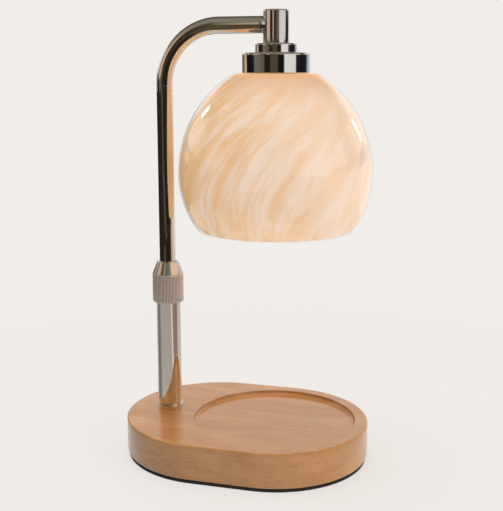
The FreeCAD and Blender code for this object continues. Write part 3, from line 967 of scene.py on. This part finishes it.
@dataclass
class GlobeShade(Assembly):
    """The blown globe: a marbled inner layer under a thin clear casing."""

    body: Body = Body.ARM
    x: float = 19.3
    wide: float = 61.4
    upper_round: float = 73.5
    lower_round: float = 58.1
    shoulder: float = 12.0
    depth: float = 62.3
    mouth_drop: float = 35.6
    wall: float = 3.0
    casing: float = 1.1
    lap: float = 0.05
    top_skin: float = 0.1
    hole: float = 14.1

    def line(self, offset: float, top: float, trim: float = 0.0, rise: float = 0.0) -> Profile:
        """The globe's profile, offset inward, from the hole to the mouth.

        Args:
            offset: How far inside the outer surface, in millimetres.
            top: The height of the outer top flat.
            trim: How far above the mouth the line ends.
            rise: How far the top flat is lifted, where the layers thin out under the cap.

        Returns:
            Points as (radius, height).
        """
        centre = top - self.depth
        wide, upper, lower = self.wide - offset, self.upper_round - offset, self.lower_round - offset
        flat, fillet = top - offset + rise, self.shoulder - offset
        middle_x = wide - upper + sqrt((upper - fillet) ** 2 - (flat - fillet - centre) ** 2)
        lean = atan2(flat - fillet - centre, middle_x - wide + upper)
        turn = pi / 2 - lean
        points = [(self.hole, flat)]
        points += [(middle_x + fillet * sin(a), flat - fillet * (1 - cos(a)))
                   for a in (turn * k / 10 for k in range(11))]
        points += [(wide - upper + upper * cos(a), centre + upper * sin(a))
                   for a in (lean * (1 - k / 28) for k in range(1, 29))]
        sink = asin((self.mouth_drop - trim) / lower)
        points += [(wide - lower + lower * cos(a), centre - lower * sin(a))
                   for a in (sink * k / 18 for k in range(1, 19))]
        return points

    def layer(self, outside: float, inside: float, top: float, trim: float, lip: float,
              rises: tuple[float, float]) -> bpy.types.Mesh:
        """Turns a closed layer of the wall between two offsets.

        Args:
            outside: The outer line's offset, in millimetres.
            inside: The inner line's offset.
            top: The height of the outer top flat.
            trim: How far above the mouth the layer ends.
            lip: The rounding radius at the mouth.
            rises: How far each line's top flat is lifted, the outer line's first.

        Returns:
            The layer's mesh.
        """
        outer, inner = (self.line(offset, top, trim, rise) for offset, rise in zip((outside, inside), rises))
        lips = {len(outer) - 1: lip, len(outer): lip}
        return Shape.turned(Shape.rounded(outer + inner[::-1], lips, 6), self.x, 192)

    def build(self) -> None:
        """Blows both layers."""
        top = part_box("glass_shade")[1].z / MM
        lifted = self.casing - self.top_skin
        marbled = self.layer(self.casing, self.wall, top, 0.3, 0.7, (lifted, 0.0))
        self.piece("marbled_glass", marbled, MarbledGlass("marbled_milk_glass"), "glass_shade",
                   slot=Slot.MARBLED_GLASS)
        clear = self.layer(0.0, self.casing - self.lap, top, 0.0, 0.45, (0.0, lifted))
        self.piece("clear_glass_casing", clear, ClearCasing("clear_casing"), "glass_shade",
                   slot=Slot.MARBLED_GLASS)


@dataclass
class ReflectorBulb(Assembly):
    """The two-pin reflector bulb."""

    body: Body = Body.BULB

    def build(self) -> None:
        """Dresses the bulb."""
        self.dress(Moulded("white_ceramic", srgb(236, 233, 224), 0.3, 0.6), "bulb_base")
        self.dress(PlainMetal("pin_nickel", srgb(206, 202, 194), 0.2), "bulb_pins")
        self.dress(PolishedNickel("dichroic_mirror", srgb(236, 226, 206), 0.08, 0.05), "bulb_reflector")
        self.dress(LampGlass("bulb_front_glass"), "bulb_lens")
        self.dress(LampGlass("capsule_glass", (1.0, 0.95, 0.85), 0.8, 4.0), "bulb_capsule")


# What each ring of cards shows: a bearing from the camera in degrees, then the 8-bit colour seen there.
ARM_CARDS: Stops = (
    (-180, 38, 35, 32), (-62, 40, 37, 33), (-50, 54, 47, 38), (-42, 98, 84, 62), (-30, 84, 72, 54),
    (-22, 44, 38, 32), (12, 40, 33, 28), (50, 44, 36, 32), (58, 206, 160, 128), (88, 226, 196, 170),
    (104, 236, 222, 208), (124, 236, 232, 228), (179.9, 232, 228, 224))
CAP_CARDS: Stops = (
    (-180, 118, 118, 118), (-138, 104, 100, 96), (-132, 222, 192, 166), (-124, 216, 186, 160),
    (-118, 24, 23, 22), (-83, 26, 25, 24), (-77, 112, 112, 112), (-63, 112, 106, 96), (-43, 104, 92, 72),
    (-38, 30, 26, 20), (-23, 34, 28, 22), (-17, 84, 78, 60), (3, 78, 72, 56), (8, 22, 20, 18),
    (25, 22, 20, 18), (28, 240, 240, 242), (66, 234, 234, 236), (70, 22, 22, 26), (118, 26, 28, 36),
    (124, 120, 135, 160), (140, 206, 208, 214), (179.9, 228, 225, 221))
TEE_CARDS: Stops = (
    (-180, 92, 90, 90), (-92, 104, 100, 98), (-86, 232, 198, 170), (-62, 218, 180, 150), (-56, 40, 36, 32),
    (-36, 52, 46, 40), (-32, 194, 180, 162), (-24, 174, 160, 142), (-20, 50, 40, 30), (-4, 66, 56, 42),
    (0, 96, 90, 70), (22, 116, 110, 92), (27, 224, 224, 226), (84, 228, 228, 230), (92, 24, 24, 28),
    (126, 30, 30, 36), (134, 226, 226, 230), (179.9, 228, 225, 221))
TABLE_CARDS: Stops = (
    (-180, 206, 201, 198), (-124, 200, 196, 192), (-116, 128, 124, 120), (-90, 134, 130, 126),
    (-80, 186, 180, 174), (18, 184, 177, 170), (23, 240, 237, 234), (32, 240, 237, 234),
    (38, 166, 140, 124), (92, 150, 126, 112), (100, 208, 202, 202), (179.9, 214, 208, 206))


@dataclass(frozen=True)
class SoftLight:
    """A rectangular light that is aimed at a point, in metres and watts."""

    name: str
    place: tuple[float, float, float]
    aim: tuple[float, float, float]
    size: tuple[float, float]
    watts: float
    tint: Colour = WHITE
    mirrored_by: tuple[str, ...] = ()

    def hang(self) -> None:
        """Hangs the light, which only the pieces in mirrored_by catch and mirror, if any are named."""
        data = bpy.data.lights.new(self.name, "AREA")
        data.shape = "RECTANGLE"
        data.size, data.size_y = self.size
        data.energy = self.watts
        data.color = self.tint
        made = placed(self.name, data)
        made.location = self.place
        made.rotation_mode = "QUATERNION"
        made.rotation_quaternion = (Vector(self.aim) - Vector(self.place)).to_track_quat("-Z", "Y")
        made.visible_glossy = bool(self.mirrored_by)
        made.visible_camera = False
        if self.mirrored_by:
            receivers = bpy.data.collections.new(self.name + "_receivers")
            for piece in self.mirrored_by:
                receivers.objects.link(bpy.data.objects[piece])
            made.light_linking.receiver_collection = receivers


@dataclass
class Studio:
    """Pale floor, soft lights, a ring of studio cards for the metal, and the camera."""

    azimuth: float = 15.8
    pitch: float = 11.34
    eye: tuple[float, float, float] = (0.16718, -0.57852, 0.2548)
    focal_px: float = 945.48
    long_side_px: float = 511.0
    sensor_mm: float = 36.0
    shade: Colour = (1.0, 0.985, 0.965)
    shade_strength: float = 0.34
    floor_radius: float = 6.0
    floor_tints: tuple[Colour, Colour] = ((0.88, 0.86, 0.845), (0.87, 0.85, 0.835))
    floor_glow: float = 0.74
    card_radius: float = 1500.0
    globe: tuple[float, float, float] = (0.0193, 0.0, 0.19)

    def camera(self) -> None:
        """Stands the camera where the photograph was taken."""
        data = bpy.data.cameras.new("view")
        data.sensor_width = self.sensor_mm
        data.sensor_fit = "AUTO"
        data.lens = self.focal_px * self.sensor_mm / self.long_side_px
        data.clip_start = 0.01
        eye = placed("view", data)
        a, p = radians(self.azimuth), radians(self.pitch)
        ahead = Vector((-sin(a) * cos(p), cos(a) * cos(p), -sin(p)))
        eye.location = self.eye
        eye.rotation_mode = "QUATERNION"
        eye.rotation_quaternion = ahead.to_track_quat("-Z", "Y")
        bpy.context.scene.camera = eye

    def world(self) -> None:
        """Paper white for what looks past the lamp, and softer light for shading."""
        world = bpy.data.worlds.new("studio")
        bpy.context.scene.world = world
        world.use_nodes = True
        graph = ShaderGraph(world.node_tree)
        path = graph.add("ShaderNodeLightPath", output="Is Camera Ray")
        outputs = path.socket.node.outputs
        seen = path.apply("MAXIMUM", Signal(graph, outputs["Is Transmission Ray"]))
        seen = seen.apply("MAXIMUM", Signal(graph, outputs["Is Glossy Ray"]))
        shade = graph.add("ShaderNodeBackground", inputs={0: self.shade, 1: self.shade_strength})
        paper = graph.add("ShaderNodeBackground", inputs={0: PAPER, 1: 1.0})
        graph.add("ShaderNodeOutputWorld", inputs={0: graph.either(seen, shade, paper)})

    def floor(self) -> None:
        """A round pale floor that fades into the paper white."""
        mesh_data = bmesh.new()
        bmesh.ops.create_circle(mesh_data, cap_ends=True, segments=96, radius=self.floor_radius)
        mesh = bpy.data.meshes.new("floor")
        mesh_data.to_mesh(mesh)
        mesh_data.free()
        floor = placed("floor", mesh)
        floor.location.z = -0.0002
        material = bpy.data.materials.new("paper_floor")
        material.use_nodes = True
        graph = ShaderGraph(material.node_tree)
        x, y, _ = graph.split(graph.place())
        away = ((x * x + y * y) ** 0.5).ramp(0.10, 0.55)
        grain = graph.noise(graph.place(), 4.0, 3.0)
        lit = graph.principled(Base_Color=graph.mix(grain.ramp(0.3, 0.7) * 0.5, *self.floor_tints),
                               Roughness=1.0, Specular_IOR_Level=0.0)
        bounced = graph.add("ShaderNodeLightPath", output="Is Diffuse Ray")
        dim_side = 1.0 - (x * cos(radians(self.azimuth)) - y * 0.3).ramp(-0.08, 0.15)
        paper = graph.either(bounced * dim_side * 0.95, graph.glowing(PAPER), graph.clear(BLACK))
        graph.surface(graph.either(away * (1.0 - self.floor_glow) + self.floor_glow, lit, paper))
        mesh.materials.append(material)

    def card_ring(self, name: str, profile: Profile, stops: Stops,
                  lid: Optional[Colour] = None, front_only: bool = False) -> None:
        """Turns a ring of studio cards that only shining surfaces mirror.

        Args:
            name: The ring's name.
            profile: Its profile as (radius, height) in millimetres.
            stops: Bearings from the camera in degrees, with the 8-bit colour seen there.
            lid: The colour that the ring turns to overhead; high behind the lamp it turns paper white.
            front_only: Whether the half behind the lamp is left out.
        """
        ring = placed(name, Shape.turned(profile, 0.0, 96, closed=False))
        for sees in ("visible_camera", "visible_diffuse", "visible_shadow", "visible_transmission",
                     "visible_volume_scatter"):
            setattr(ring, sees, False)
        material = bpy.data.materials.new(name + "_faces")
        material.use_nodes = True
        graph = ShaderGraph(material.node_tree)
        x, y, z = graph.split(graph.place())
        a = radians(self.azimuth)
        right = x * cos(a) + y * sin(a)
        near = x * sin(a) - y * cos(a)
        share = right.apply("ARCTAN2", near) / tau + 0.5
        ramp = [((bearing + 180) / 360, srgb(*seen)) for bearing, *seen in stops]
        colour = graph.add("ShaderNodeValToRGB", {"stops": ramp}, {0: share})
        if lid:
            behind = near * -1.0
            colour = graph.mix(z.ramp(0.42, 1.5), colour, lid)
            dusk = z.ramp(0.95, 1.3) * behind.ramp(0.0, 0.8) * 0.8
            colour = graph.mix(dusk, colour, srgb(74, 70, 64))
            sky = z.ramp(0.34, 0.44) * (1.0 - z.ramp(0.8, 0.95))
            colour = graph.mix(sky * behind.ramp(0.15, 0.7), colour, PAPER)
        shader = graph.glowing(colour)
        if front_only:
            shader = graph.either(near.apply("LESS_THAN", 0.02), shader, graph.clear(WHITE))
        graph.surface(shader)
        ring.data.materials.append(material)

    def cards(self) -> None:
        """Stands the rings that the arm, the cap and the tee mirror, and lays those that the post mirrors."""
        far = self.card_radius
        self.card_ring("arm_cards", [(far, 0.5), (far, 205.0)], ARM_CARDS)
        self.card_ring("cap_cards", [(far, 205.0), (far, 308.0)], CAP_CARDS)
        self.card_ring("tee_cards", [(far, 308.0), (far, 500.0), (far, 1100.0), (1200.0, 1500.0),
                                     (600.0, 1750.0), (0.0, 1800.0)], TEE_CARDS, srgb(142, 134, 120))
        self.card_ring("apron_cards", [(92.0, 128.5), (500.0, 128.5)], ARM_CARDS, front_only=True)
        self.card_ring("table_cards", [(125.0, 0.4), (480.0, 0.4)], TABLE_CARDS)
        self.card_ring("far_table_cards", [(480.0, 0.4), (far, 0.4)], ARM_CARDS)

    def lights(self) -> None:
        """Overhead softness, a front key and two small panes that glint on the globe."""
        for light in (
                SoftLight("overhead", (-0.15, 0.05, 1.25), (0.0, 0.0, 0.0), (1.2, 1.2), 11.0,
                          (1.0, 0.985, 0.96)),
                SoftLight("key", (1.0, -0.45, 0.5), (0.0, 0.0, 0.06), (0.6, 0.6), 3.2, (1.0, 0.98, 0.95)),
                SoftLight("glint_left", (-0.975, 0.497, 0.711), self.globe, (0.10, 0.13), 0.4,
                          mirrored_by=("clear_glass_casing",)),
                SoftLight("glint_right", (0.715, 0.953, 0.517), self.globe, (0.10, 0.22), 0.45,
                          mirrored_by=("clear_glass_casing",))):
            light.hang()

    def build(self) -> None:
        """Sets the studio but not its lights: camera, world, floor, cards and view transform."""
        self.camera()
        self.world()
        self.floor()
        self.cards()
        bpy.context.scene.view_settings.view_transform = "Standard"


def main() -> None:
    """Builds the lamp's sub-assemblies in order."""
    logging.basicConfig(level=logging.INFO, format="%(name)s: %(message)s")
    studio = Studio()
    studio.build()
    for assembly in (WoodenBase(), FixedPost(), ClampNut(), GuideBush(), SwingArm(), LampHead(),
                     GlobeShade(), ReflectorBulb()):
        assembly.build()
        LOG.info("%s built", type(assembly).__name__)
    studio.lights()


if __name__ == "__main__":
    main()
